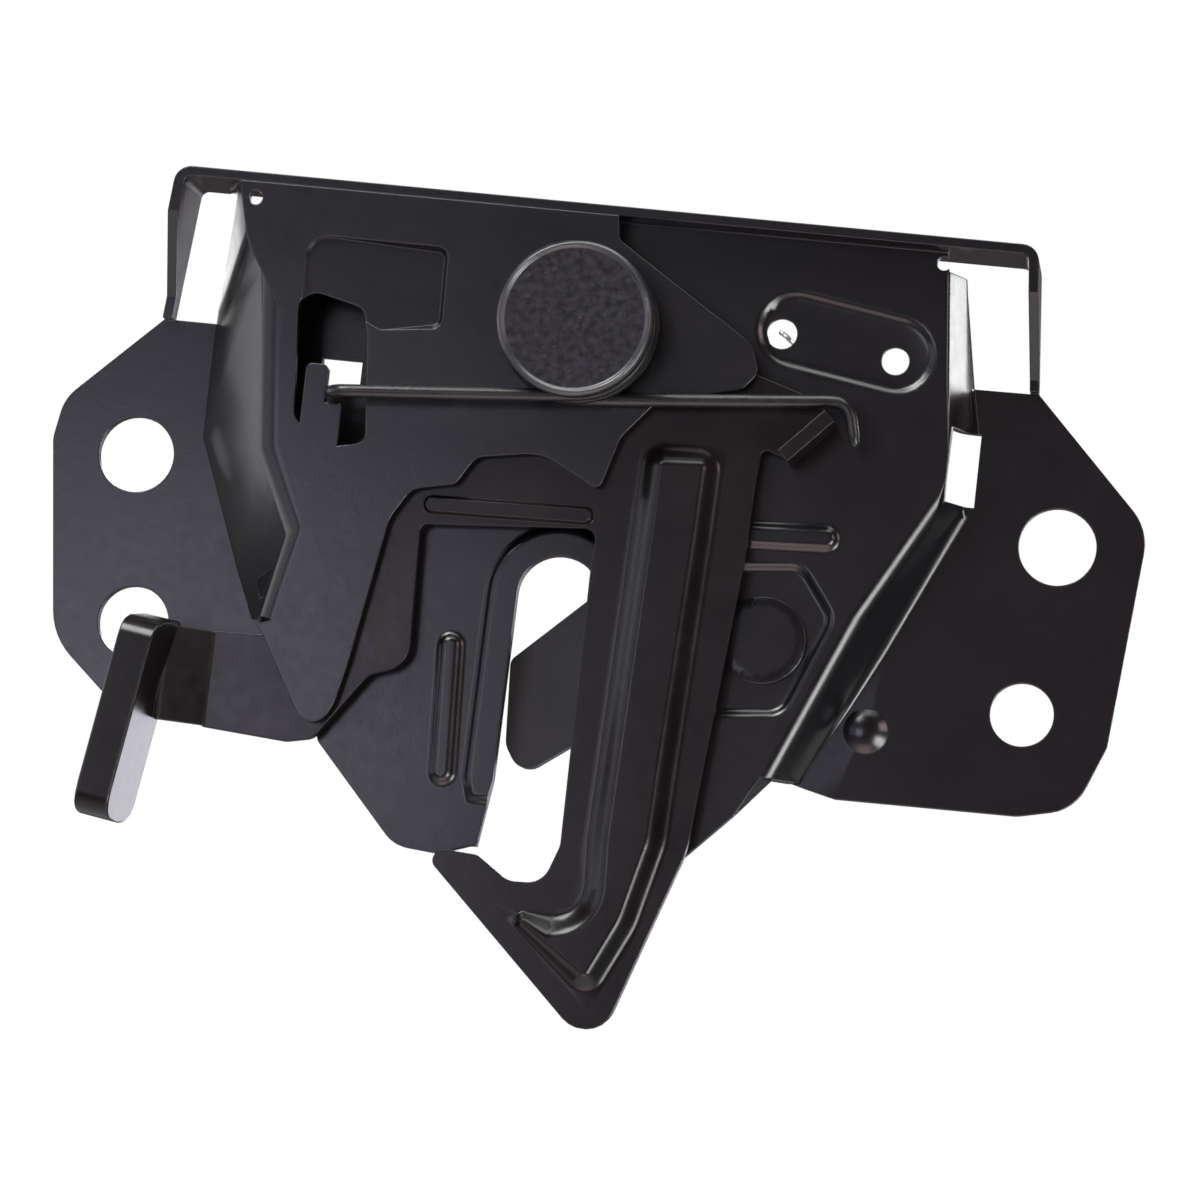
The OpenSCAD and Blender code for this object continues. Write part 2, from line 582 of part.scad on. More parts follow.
base_plate();
front_plate();
pivot_stud();
lever_bush();
lever_washer();
safety_lever();
lever_spring();
catch();
catch_rivet();
catch_washer();
catch_spring();
pawl();
pawl_pin();
pawl_washer();
pawl_spring();
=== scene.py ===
"""Dresses a bonnet latch for the studio: coated pressings, wire springs, pivots and the catch behind."""

import logging
import math
from dataclasses import dataclass
from enum import Enum

import bmesh
import bpy
import numpy as np
from mathutils import Matrix, Vector


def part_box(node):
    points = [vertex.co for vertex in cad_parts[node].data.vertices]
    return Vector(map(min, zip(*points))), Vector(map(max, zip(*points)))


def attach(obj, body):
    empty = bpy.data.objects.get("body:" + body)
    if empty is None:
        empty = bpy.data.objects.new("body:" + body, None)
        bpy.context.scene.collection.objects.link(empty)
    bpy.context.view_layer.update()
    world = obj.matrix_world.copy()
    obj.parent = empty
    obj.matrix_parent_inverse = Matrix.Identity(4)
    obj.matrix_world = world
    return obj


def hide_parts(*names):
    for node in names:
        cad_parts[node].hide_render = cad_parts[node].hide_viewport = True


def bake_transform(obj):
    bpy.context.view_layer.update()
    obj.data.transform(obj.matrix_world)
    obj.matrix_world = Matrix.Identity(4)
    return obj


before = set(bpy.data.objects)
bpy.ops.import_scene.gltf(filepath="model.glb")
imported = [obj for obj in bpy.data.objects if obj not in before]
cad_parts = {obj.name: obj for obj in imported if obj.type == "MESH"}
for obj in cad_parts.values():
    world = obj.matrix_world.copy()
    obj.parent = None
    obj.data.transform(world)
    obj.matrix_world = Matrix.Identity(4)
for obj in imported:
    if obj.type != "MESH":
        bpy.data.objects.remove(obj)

MM = 0.001
Socket = bpy.types.NodeSocket
Colour = tuple[float, float, float]
Point = tuple[float, float, float]
Span = tuple[float, float]
Box = tuple[Point, Point]
WHITE: Colour = (1.0, 1.0, 1.0)
UNIT: Span = (0.0, 1.0)
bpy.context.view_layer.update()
log = logging.getLogger("latch")


class Body(Enum):
    """Rigid bodies that a piece can ride on."""

    BASE = "base"
    LEVER = "lever"
    CATCH = "catch"
    PAWL = "pawl"


class Slot(Enum):
    """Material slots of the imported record."""

    COAT = "coat"
    STEEL = "steel"
    ZINC = "zinc"


class NodeGraph:
    """Small wrapper that adds and links shader nodes."""

    MIX_INPUTS = (0, 6, 7)
    MIX_RESULT = 2
    RANGE_INPUTS = ("From Min", "From Max", "To Min", "To Max")

    def __init__(self, tree: bpy.types.NodeTree) -> None:
        """Keeps the tree that nodes are added to.

        Args:
            tree: The material's or the world's node tree.
        """
        self.tree = tree

    def add(self, kind: str, settings: dict[str, object] | None = None, **inputs: object) -> bpy.types.Node:
        """Adds one node.

        Args:
            kind: The node's type, such as ShaderNodeTexNoise.
            settings: Attributes of the node itself.
            inputs: Values or output sockets by input name, with _ for a space.

        Returns:
            The new node.
        """
        node = self.tree.nodes.new(kind)
        for key, value in (settings or {}).items():
            setattr(node, key, value)
        for key, value in inputs.items():
            self.put(node.inputs[key.replace("_", " ")], value)
        return node

    def put(self, target: Socket, value: object) -> None:
        """Links an output to an input, or sets the input to a plain value.

        Args:
            target: The input.
            value: Output socket, or a value that the input takes.
        """
        if isinstance(value, Socket):
            self.join(value, target)
        else:
            target.default_value = value

    def join(self, output: Socket, target: Socket) -> None:
        """Links an output to an input."""
        self.tree.links.new(output, target)

    def blend(self, factor: Socket | float, low: Socket | Colour, high: Colour) -> Socket:
        """Mixes two colours.

        Args:
            factor: Output socket or number that drives the mix.
            low: Colour at 0, or the socket that gives it.
            high: Colour at 1.

        Returns:
            The mixed colour's socket.
        """
        node = self.tree.nodes.new("ShaderNodeMix")
        node.data_type = "RGBA"
        for index, value in zip(self.MIX_INPUTS, (factor, low, high)):
            self.put(node.inputs[index], (*value, 1.0) if isinstance(value, tuple) else value)
        return node.outputs[self.MIX_RESULT]

    def ranged(self, value: Socket, source: Span, target: Span) -> Socket:
        """Maps a value from one range to another.

        Args:
            value: Socket that gives the value.
            source: Lowest and highest value that come in.
            target: Lowest and highest value that go out.

        Returns:
            The mapped value's socket.
        """
        node = self.add("ShaderNodeMapRange", {"clamp": True}, Value=value)
        for name, number in zip(self.RANGE_INPUTS, (*source, *target)):
            node.inputs[name].default_value = number
        return node.outputs[0]


# Detail and range of the noises, and how much of each shows in a finish.
MOTTLE_DETAIL, PEEL_DETAIL, GRAIN_DETAIL = 4.0, 2.0, 3.0
MOTTLE_RANGE: Span = (0.35, 0.7)
PEEL_RANGE: Span = (0.3, 0.7)
SPECK_RANGE: Span = (0.62, 0.80)
SPECK_SHARE: Span = (0.0, 0.12)
# Painted highlight along rounded edges: how far the rounded normal turns from the shading normal, and how
# much edge colour is painted there.
EDGE_HIGHLIGHT_LIKENESS: Span = (0.995, 0.80)
EDGE_HIGHLIGHT_SHARE: Span = (0.0, 0.8)
BUMP_STRENGTH = 0.6
BEVEL_SAMPLES = 6


@dataclass(frozen=True)
class Finish:
    """A metal surface with fine grain, slow mottling and a painted highlight: a paler line along rounded
    edges.
    """

    name: str
    colour: Colour
    mottle: Colour
    # Colour of the pale specks, and of the painted highlight along rounded edges.
    edge: Colour
    roughness: Span
    specular: float
    metallic: float = 0.0
    grain_mm: float = 0.5
    grain_depth_mm: float = 0.012
    mottle_mm: float = 14.0
    peel_mm: float = 2.2
    peel_depth_mm: float = 0.02
    round_mm: float = 0.35

    def material(self) -> bpy.types.Material:
        """Makes the material, or finds it if it was made before.

        Returns:
            The finish as a Blender material.
        """
        found = bpy.data.materials.get(self.name)
        if found:
            return found
        material = bpy.data.materials.new(self.name)
        material.use_nodes = True
        graph = NodeGraph(material.node_tree)
        shader = material.node_tree.nodes["Principled BSDF"]
        place = graph.add("ShaderNodeTexCoord").outputs["Object"]
        slow = self._noise(graph, place, self.mottle_mm, MOTTLE_DETAIL)
        peel = self._noise(graph, place, self.peel_mm, PEEL_DETAIL)
        grain = self._noise(graph, place, self.grain_mm, GRAIN_DETAIL)
        base = graph.blend(graph.ranged(slow, MOTTLE_RANGE, UNIT), self.colour, self.mottle)
        speck = graph.ranged(grain, SPECK_RANGE, SPECK_SHARE)
        base = graph.blend(speck, base, self.edge)
        bevel = graph.add("ShaderNodeBevel", {"samples": BEVEL_SAMPLES}, Radius=self.round_mm * MM)
        soft = bevel.outputs["Normal"]
        # Painted highlight: the base colour goes towards the edge colour where the rounded normal turns from
        # the shading normal, in hollows as well as on ridges.
        flat = graph.add("ShaderNodeNewGeometry").outputs["Normal"]
        likeness = graph.add("ShaderNodeVectorMath", {"operation": "DOT_PRODUCT"})
        graph.join(soft, likeness.inputs[0])
        graph.join(flat, likeness.inputs[1])
        edge = graph.ranged(likeness.outputs["Value"], EDGE_HIGHLIGHT_LIKENESS, EDGE_HIGHLIGHT_SHARE)
        graph.join(graph.blend(edge, base, self.edge), shader.inputs["Base Color"])
        graph.join(graph.ranged(peel, PEEL_RANGE, self.roughness), shader.inputs["Roughness"])
        rough = graph.add("ShaderNodeBump", Height=peel, Distance=self.peel_depth_mm * MM,
                          Strength=BUMP_STRENGTH, Normal=soft)
        fine = graph.add("ShaderNodeBump", Height=grain, Distance=self.grain_depth_mm * MM,
                         Strength=BUMP_STRENGTH, Normal=rough.outputs[0])
        graph.join(fine.outputs[0], shader.inputs["Normal"])
        shader.inputs["Specular IOR Level"].default_value = self.specular
        shader.inputs["Metallic"].default_value = self.metallic
        return material

    @staticmethod
    def _noise(graph: NodeGraph, place: Socket, size_mm: float, detail: float) -> Socket:
        """Adds a noise of a given grain size.

        Args:
            graph: Graph to add to.
            place: Coordinates in metres.
            size_mm: Size of one grain.
            detail: Octaves of finer noise.

        Returns:
            The noise value's socket.
        """
        node = graph.add("ShaderNodeTexNoise", Vector=place, Scale=1.0 / (size_mm * MM), Detail=detail)
        return node.outputs["Fac"]


COATED = Finish("Black_electrocoat", (0.0017, 0.0016, 0.0023), (0.0027, 0.0024, 0.0032),
                (0.016, 0.016, 0.020), (0.225, 0.265), 0.3)
HOOK_COATED = Finish("Black_electrocoat_hook", (0.0019, 0.0015, 0.0018), (0.0040, 0.0028, 0.0031),
                     (0.014, 0.012, 0.014), (0.22, 0.27), 0.2)
GRITTY = Finish("Gritty_stud_head", (0.0016, 0.0015, 0.0022), (0.0120, 0.0112, 0.0150), (0.15, 0.15, 0.17),
                (0.45, 0.65), 0.12, grain_mm=0.7, grain_depth_mm=0.10, mottle_mm=1.3, peel_mm=1.6,
                peel_depth_mm=0.10, round_mm=0.5)
WORN_RIM = Finish("Worn_stud_rim", (0.005, 0.005, 0.006), (0.010, 0.010, 0.012), (0.03, 0.03, 0.034),
                  (0.28, 0.38), 0.5, mottle_mm=4.0, peel_mm=1.2)
BLACK_WIRE = Finish("Black_spring_wire", (0.004, 0.004, 0.0045), (0.007, 0.0065, 0.007), (0.03, 0.03, 0.03),
                    (0.24, 0.34), 0.25, peel_depth_mm=0.008)
PHOSPHATED = Finish("Phosphated_steel", (0.007, 0.007, 0.008), (0.012, 0.0115, 0.0125), (0.04, 0.04, 0.04),
                    (0.36, 0.52), 0.28)
DULL_ZINC = Finish("Dull_zinc", (0.30, 0.30, 0.31), (0.38, 0.37, 0.36), (0.45, 0.45, 0.45),
                   (0.32, 0.50), 0.5, metallic=0.9)


# Kinds of edge by the angle between its faces in degrees, positive on outside edges.
ANY_ANGLE: Span = (-180.0, 180.0)
BEND_OUT: Span = (26.0, 80.0)
BEND_IN: Span = (-80.0, -26.0)
SHARP_OUT: Span = (50.0, 180.0)
SLOPE_OUT: Span = (30.0, 55.0)
SLOPE_IN: Span = (-55.0, -30.0)
VALLEY: Span = (-45.0, -28.0)

# Angles past which an edge of a piece or of a wire is shaded sharp.
SHARP_DEG = 42.0
WIRE_SHARP_DEG = 80.0

# Steps across a rounding, and what counts as one level, as upright and as a turned corner.
ROUND_STEPS = 3
LEVEL_TOLERANCE_MM = 0.02
RIDGE_TOLERANCE_MM = 0.1
UPRIGHT = 0.3
TURNED_DEG = 25.0

# Corners nearer than this are one, and faces within this angle are one flat face.
MERGE_MM = 0.004
TURNED_MERGE_MM = 0.002
FLAT_DEG = 0.6

# Least part of a side that its roundings leave, by share and by length, and a turn that counts as none.
KEPT_SHARE = 0.06
KEPT_MM = 0.02
STRAIGHT_TURN = 0.03
NARROWING = 0.8


def inside(place: Vector, box: Box | None) -> bool:
    """Tells whether a place lies in a box, or that there is none."""
    return box is None or all(a <= c <= b for a, c, b in zip(box[0], place, box[1]))


@dataclass(frozen=True)
class Edge:
    """Rule that gives edges a rounding width, by their angle, their depth and the box that they lie in."""

    width_mm: float
    angles_deg: Span
    level_mm: float | None = None
    box_mm: Box | None = None
    longer_mm: float = 0.0

    def fits(self, edge: bmesh.types.BMEdge, angle: float) -> bool:
        """Tells whether the rule applies to an edge.

        Args:
            edge: The edge.
            angle: Angle between its faces, in radians, positive on outside edges.

        Returns:
            True if its angle, its depth and its place all fit.
        """
        if not self.angles_deg[0] <= math.degrees(angle) <= self.angles_deg[1]:
            return False
        ends = [v.co / MM for v in edge.verts]
        if (ends[0] - ends[1]).length < self.longer_mm:
            return False
        if self.level_mm is not None and any(abs(p.y - self.level_mm) > LEVEL_TOLERANCE_MM for p in ends):
            return False
        return all(inside(p, self.box_mm) for p in ends)


@dataclass(frozen=True)
class Draft:
    """Slope of the low walls round a raised bead or a sunk recess."""

    level_mm: float
    inset_mm: float
    raised: bool
    box_mm: Box | None = None
    tallest_mm: float = 1.3
    sink: float = 0.0
    mitre: float = 0.4

    def depth(self, place: Vector) -> float:
        """Gives how far a corner sinks, by its distance from the left side of the box."""
        return self.sink * (place.x - self.box_mm[0][0] * MM) if self.box_mm else 0.0

    def is_wall(self, face: bmesh.types.BMFace) -> bool:
        """Tells whether a face is a low upright wall on the right side of the level.

        Args:
            face: The face.

        Returns:
            True if the wall belongs to the feature.
        """
        depths = [vert.co.y / MM for vert in face.verts]
        behind = sum(depths) / len(depths) > self.level_mm
        low = max(depths) - min(depths) < self.tallest_mm
        return abs(face.normal.y) < UPRIGHT and low and behind == self.raised


def crowded(face: bmesh.types.BMFace, layer: bmesh.types.BMLayerItem) -> set[bmesh.types.BMEdge]:
    """Finds the edges of a face whose roundings leave too little of it.

    Args:
        face: A flat face.
        layer: Edge layer that holds the rounding widths in metres.

    Returns:
        The edges to narrow, none if the inset outline keeps every side.
    """
    edges = [loop.edge for loop in face.loops]
    width = np.array([edge[layer] for edge in edges])
    if not width.any():
        return set()
    origin = face.loops[0].vert.co
    across = (face.loops[0].link_loop_next.vert.co - origin).normalized()
    upward = face.normal.cross(across)
    corners = np.array([[(loop.vert.co - origin).dot(across), (loop.vert.co - origin).dot(upward)]
                        for loop in face.loops])
    side = np.roll(corners, -1, axis=0) - corners
    length = np.maximum(np.linalg.norm(side, axis=1), 1e-9)
    side /= length[:, None]
    before, width_before = np.roll(side, 1, axis=0), np.roll(width, 1)
    turn = before[:, 0] * side[:, 1] - before[:, 1] * side[:, 0]
    straight = np.abs(turn) < STRAIGHT_TURN
    turn[straight] = 1.0
    move = (width_before[:, None] * side - width[:, None] * before) / turn[:, None]
    inward = np.stack([-side[:, 1], side[:, 0]], axis=1)
    move[straight] = (inward * np.maximum(width, width_before)[:, None])[straight]
    inset = corners + move
    kept = ((np.roll(inset, -1, axis=0) - inset) * side).sum(axis=1)
    least = np.minimum(KEPT_SHARE * length, KEPT_MM * MM)
    bad = set(np.flatnonzero(kept < least)) | crossings(inset)
    count = len(edges)
    near = {(i + k) % count for i in bad for k in (-1, 0, 1)}
    return {edges[i] for i in near if width[i] > 0.0}


def crossings(corners: np.ndarray) -> set[int]:
    """Finds sides of a closed outline that cross other sides.

    Args:
        corners: Corner points in order.

    Returns:
        Numbers of the sides that cross.
    """
    start, end = corners, np.roll(corners, -1, axis=0)

    def reach(a: np.ndarray, b: np.ndarray, c: np.ndarray) -> np.ndarray:
        """Gives twice the signed area of the triangles a, b, c."""
        ab, ac = b - a, c - a
        return ab[..., 0] * ac[..., 1] - ab[..., 1] * ac[..., 0]

    a, b, c, d = start[:, None], end[:, None], start[None], end[None]
    hit = (reach(a, b, c) * reach(a, b, d) < 0) & (reach(c, d, a) * reach(c, d, b) < 0)
    return set(np.flatnonzero(hit.any(axis=1)))


@dataclass(frozen=True)
class Ridge:
    """Pressed ridge with round corners, whose sides rise in an S-shaped slope.

    Each corner has its X, its Z, its radius and the width of its slope, in order round the foot.
    """

    corners_mm: tuple[tuple[float, float, float, float], ...]
    level_mm: float
    height_mm: float
    rings: int = 10
    steps_per_radian: int = 8
    margin_mm: float = 4.0
    clear_mm: float = 1.0

    def outline(self) -> tuple[np.ndarray, np.ndarray]:
        """Rounds the corners of the foot.

        Returns:
            Points of the foot in millimetres, X and Z, in order, and the width of the slope at each.
        """
        places = np.array([corner[:2] for corner in self.corners_mm])
        points, widths = [], []
        for i, (_, _, radius, width) in enumerate(self.corners_mm):
            here, back, ahead = places[i], places[i - 1], places[(i + 1) % len(places)]
            come = (here - back) / np.linalg.norm(here - back)
            leave = (ahead - here) / np.linalg.norm(ahead - here)
            turn = math.atan2(come[0] * leave[1] - come[1] * leave[0], come @ leave)
            side = math.copysign(1.0, turn)
            reach = radius * math.tan(abs(turn) / 2)
            centre = here - come * reach + side * radius * np.array([-come[1], come[0]])
            steps = max(2, round(abs(turn) * self.steps_per_radian))
            first = math.atan2(*(here - come * reach - centre)[::-1])
            points += [centre + radius * np.array([math.cos(a), math.sin(a)])
                       for a in first + np.linspace(0.0, turn, steps + 1)]
            widths += [width] * (steps + 1)
        return np.array(points), np.array(widths)

    def box(self) -> Box:
        """Gives the box round the ridge, with its margins.

        Returns:
            Low and high corner in millimetres.
        """
        low = [min(corner[k] for corner in self.corners_mm) - self.margin_mm for k in (0, 1)]
        high = [max(corner[k] for corner in self.corners_mm) + self.margin_mm for k in (0, 1)]
        front = self.level_mm - self.height_mm - self.clear_mm
        return (low[0], front, low[1]), (high[0], self.level_mm + self.clear_mm, high[1])

    def loops(self) -> list[list[Vector]]:
        """Lays rings from the foot to the top.

        Returns:
            Corner points of each ring, in metres.
        """
        foot, widths = self.outline()
        ahead = np.roll(foot, -1, axis=0) - foot
        ahead /= np.linalg.norm(ahead, axis=1)[:, None]
        back = np.roll(ahead, 1, axis=0)
        area = np.sum(foot[:, 0] * np.roll(foot[:, 1], -1) - foot[:, 1] * np.roll(foot[:, 0], -1))
        across = ahead + back
        inward = np.stack([-across[:, 1], across[:, 0]], axis=1) * math.copysign(1.0, area)
        inward *= (2 * widths / np.sum(inward * inward, axis=1))[:, None]
        rings = []
        for t in np.linspace(0.0, 1.0, self.rings + 1):
            depth = self.level_mm - self.height_mm * t * t * (3 - 2 * t)
            rings.append([Vector((x, depth, z)) * MM for x, z in foot + inward * t])
        return rings


def placed(mesh: bmesh.types.BMesh, name: str) -> bpy.types.Object:
    """Turns a working mesh into an object of the scene.

    Args:
        mesh: The working mesh, which is freed.
        name: Name of the object and of its mesh.

    Returns:
        The new object, at the origin.
    """
    data = bpy.data.meshes.new(name)
    mesh.to_mesh(data)
    mesh.free()
    piece = bpy.data.objects.new(name, data)
    bpy.context.scene.collection.objects.link(piece)
    return piece


class SolidCopy:
    """A merged copy of a CAD node, with whole flat faces, whose edges can be rounded."""

    def __init__(self, node: str) -> None:
        """Copies the node's solid.

        Args:
            node: Name of the CAD node.
        """
        self.node = node
        self.sloped: set[bmesh.types.BMVert] = set()
        self.mesh = bmesh.new()
        self.mesh.from_mesh(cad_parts[node].data)
        bmesh.ops.remove_doubles(self.mesh, verts=self.mesh.verts, dist=MERGE_MM * MM)
        bmesh.ops.dissolve_limit(self.mesh, angle_limit=math.radians(FLAT_DEG), verts=self.mesh.verts,
                                 edges=self.mesh.edges, use_dissolve_boundaries=False)

    def drafted(self, step: Draft) -> None:
        """Slopes the low upright walls round a pressed feature, by moving the corners at its top or floor.

        Args:
            step: Level, inset and kind of the feature.
        """
        moves = {}
        for vert in self.mesh.verts:
            off_level = abs(vert.co.y / MM - step.level_mm) > LEVEL_TOLERANCE_MM
            if off_level or not inside(vert.co / MM, step.box_mm):
                continue
            walls = [face for face in vert.link_faces if step.is_wall(face)]
            if walls and vert not in self.sloped:
                total = sum((face.normal for face in walls), Vector())
                flat = Vector((total.x, 0.0, total.z)) / len(walls)
                inset = step.inset_mm * MM * (-1 if step.raised else 1)
                move = flat / max(flat.length_squared, step.mitre) * inset
                moves[vert] = move + Vector((0.0, step.depth(vert.co), 0.0))
                self.sloped.add(vert)
        for vert, move in moves.items():
            vert.co += move
        self.mesh.normal_update()

    def ridged(self, ridge: Ridge) -> None:
        """Puts a smooth ridge in the place of the plain one.

        Args:
            ridge: Outline, height and slope of the new ridge.
        """
        top = (ridge.level_mm - ridge.height_mm + RIDGE_TOLERANCE_MM) * MM
        plain = [face for face in self.mesh.faces if inside(face.calc_center_median() / MM, ridge.box())
                 and any(vert.co.y < top for vert in face.verts)]
        bmesh.ops.delete(self.mesh, geom=plain, context="FACES")
        hole = [edge for edge in self.mesh.edges if edge.is_boundary]
        rings = [[self.mesh.verts.new(place) for place in ring] for ring in ridge.loops()]
        foot = [self.mesh.edges.new(pair) for pair in zip(rings[0], rings[0][1:] + rings[0][:1])]
        bmesh.ops.triangle_fill(self.mesh, use_beauty=True, use_dissolve=False, edges=hole + foot,
                                normal=(0, -1, 0))
        for low, high in zip(rings, rings[1:]):
            for a, b, c, d in zip(low, low[1:] + low[:1], high[1:] + high[:1], high):
                self.mesh.faces.new((a, b, c, d))
        self.mesh.faces.new(rings[-1])
        bmesh.ops.recalc_face_normals(self.mesh, faces=self.mesh.faces)
        self.mesh.normal_update()

    def rounded(self, rules: list[Edge], segments: int = ROUND_STEPS) -> bpy.types.Object:
        """Rounds edges, the first rule that fits an edge giving its width.

        Args:
            rules: Rules in order of rank.
            segments: Steps across each rounding.

        Returns:
            The new piece, at the origin.
        """
        widest = max(rule.width_mm for rule in rules)
        layer = self.mesh.edges.layers.float.new("bevel_weight_edge")
        for edge in self.mesh.edges:
            if len(edge.link_faces) != 2:
                continue
            angle = edge.calc_face_angle_signed(0.0)
            edge[layer] = next((r.width_mm for r in rules if r.fits(edge, angle)), 0.0) * MM
        self._eased(layer)
        for edge in self.mesh.edges:
            edge[layer] /= widest * MM
        piece = placed(self.mesh, f"{self.node}_dressed")
        rounding = piece.modifiers.new("Rounding", "BEVEL")
        rounding.width = widest * MM
        rounding.segments = segments
        rounding.profile = 0.5
        rounding.limit_method = "WEIGHT"
        rounding.use_clamp_overlap = False
        rounding.loop_slide = False
        return baked(piece)

    def _eased(self, layer: bmesh.types.BMLayerItem, rounds: int = 60) -> None:
        """Narrows roundings that would overlap, until the inset outline of every face stays whole.

        Args:
            layer: Edge layer that holds the widths in metres.
            rounds: Most rounds of narrowing.
        """
        open_faces = set(self.mesh.faces)
        for _ in range(rounds):
            tight = set()
            for face in open_faces:
                tight |= crowded(face, layer)
            if not tight:
                break
            for edge in tight:
                edge[layer] *= NARROWING
            open_faces = {face for edge in tight for face in edge.link_faces}

    def smooth(self, levels: int = 0) -> bpy.types.Object:
        """Leaves the form as it is, with smooth shading.

        Args:
            levels: Steps of subdivision.

        Returns:
            The new piece, at the origin.
        """
        piece = placed(self.mesh, f"{self.node}_dressed")
        if levels:
            finer = piece.modifiers.new("Finer", "SUBSURF")
            finer.levels = levels
            finer.render_levels = levels
        return baked(piece, WIRE_SHARP_DEG if levels else SHARP_DEG)


def baked(piece: bpy.types.Object, sharp_deg: float = SHARP_DEG) -> bpy.types.Object:
    """Applies a piece's modifiers, shades it smooth and marks its sharp edges.

    Args:
        piece: Object with modifiers.
        sharp_deg: Angle past which an edge stays sharp.

    Returns:
        The same object, with its final mesh.
    """
    depsgraph = bpy.context.evaluated_depsgraph_get()
    data = bpy.data.meshes.new_from_object(piece.evaluated_get(depsgraph), depsgraph=depsgraph)
    piece.modifiers.clear()
    old = piece.data
    piece.data = data
    bpy.data.meshes.remove(old)
    data.materials.clear()
    mesh = bmesh.new()
    mesh.from_mesh(data)
    for face in mesh.faces:
        face.smooth = True
    for edge in mesh.edges:
        edge.smooth = edge.calc_face_angle(0.0) < math.radians(sharp_deg)
    mesh.to_mesh(data)
    mesh.free()
    even = piece.modifiers.new("Even_shading", "WEIGHTED_NORMAL")
    even.keep_sharp = True
    return piece


def spun(name: str, profile_mm: list[Span], centre: Vector, round_mm: float, steps: int) -> bpy.types.Object:
    """Turns a profile about an axis along Y.

    Args:
        name: Name of the piece.
        profile_mm: Radius and depth of each corner, from the front to the rear.
        centre: Point on the axis, in metres.
        round_mm: Rounding of the turned corners.
        steps: Steps of the full turn.

    Returns:
        The new piece, at the origin.
    """
    mesh = bmesh.new()
    corners = [mesh.verts.new((r * MM, y * MM, 0.0)) for r, y in profile_mm]
    edges = [mesh.edges.new(pair) for pair in zip(corners, corners[1:])]
    bmesh.ops.spin(mesh, geom=corners + edges, cent=(0, 0, 0), axis=(0, 1, 0), angle=2 * math.pi,
                   steps=steps, use_merge=True)
    bmesh.ops.remove_doubles(mesh, verts=mesh.verts, dist=TURNED_MERGE_MM * MM)
    bmesh.ops.recalc_face_normals(mesh, faces=mesh.faces)
    turned = [edge for edge in mesh.edges
              if len(edge.link_faces) == 2 and edge.calc_face_angle(0.0) > math.radians(TURNED_DEG)]
    bmesh.ops.bevel(mesh, geom=turned, offset=round_mm * MM, offset_type="OFFSET", segments=ROUND_STEPS,
                    profile=0.5, affect="EDGES", material=-1, clamp_overlap=True)
    bmesh.ops.translate(mesh, verts=mesh.verts, vec=centre)
    return baked(placed(mesh, name))


@dataclass
class Piece:
    """A dressed piece that stands for one CAD node and rides on a body."""

    node: str
    body: Body
    finish: Finish
    slot: Slot

    def shape(self) -> bpy.types.Object:
        """Makes the bare mesh, here a smooth copy of the solid."""
        return SolidCopy(self.node).smooth()

    def dress(self, piece: bpy.types.Object) -> None:
        """Gives the mesh its finish.

        Args:
            piece: The bare mesh.
        """
        piece.data.materials.clear()
        piece.data.materials.append(self.finish.material())

    def stand(self, piece: bpy.types.Object) -> None:
        """Lets the piece ride on its body in place of the CAD node.

        Args:
            piece: The dressed mesh.
        """
        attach(piece, self.body.value)
        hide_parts(self.node)
        log.info("%s stands for %s, %d faces", piece.name, self.node, len(piece.data.polygons))

    def build(self) -> bpy.types.Object:
        """Makes the mesh, dresses it and puts it on its body.

        Returns:
            The finished piece.
        """
        piece = self.shape()
        self.dress(piece)
        self.stand(piece)
        return piece


@dataclass
class Hardware(Piece):
    """A machined or stamped small piece, which keeps the solid's own form."""


@dataclass
class Pressing(Piece):
    """A piece of pressed sheet, with round bends and sloped beads and recesses."""

    slot: Slot = Slot.COAT
    bend_mm: float = 1.3
    hollow_mm: float = 1.3
    shortest_mm: float = 3.0
    places: tuple[Edge, ...] = ()
    drafts: tuple[Draft, ...] = ()
    ridge: Ridge | None = None

    def rules(self) -> list[Edge]:
        """Lists the piece's own roundings, then those of its long bends."""
        return [*self.places, Edge(self.bend_mm, BEND_OUT, longer_mm=self.shortest_mm),
                Edge(self.hollow_mm, BEND_IN, longer_mm=self.shortest_mm)]

    def shape(self) -> bpy.types.Object:
        """Slopes and rounds a copy of the solid.

        Returns:
            The bare mesh.
        """
        copy = SolidCopy(self.node)
        for step in self.drafts:
            copy.drafted(step)
        if self.ridge:
            copy.ridged(self.ridge)
        return copy.rounded(self.rules())


@dataclass
class Spring(Piece):
    """A wire spring between the base and the body that it loads."""

    start_mm: Point
    end_mm: Point
    levels: int = 1

    def shape(self) -> bpy.types.Object:
        """Smooths a copy of the wire."""
        return SolidCopy(self.node).smooth(self.levels)

    def stand(self, piece: bpy.types.Object) -> None:
        """Bakes the wire's place into its mesh, in place of the CAD node.

        Args:
            piece: The dressed wire.
        """
        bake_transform(piece)
        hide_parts(self.node)
        log.info("%s bends from base to %s", piece.name, self.body.value)


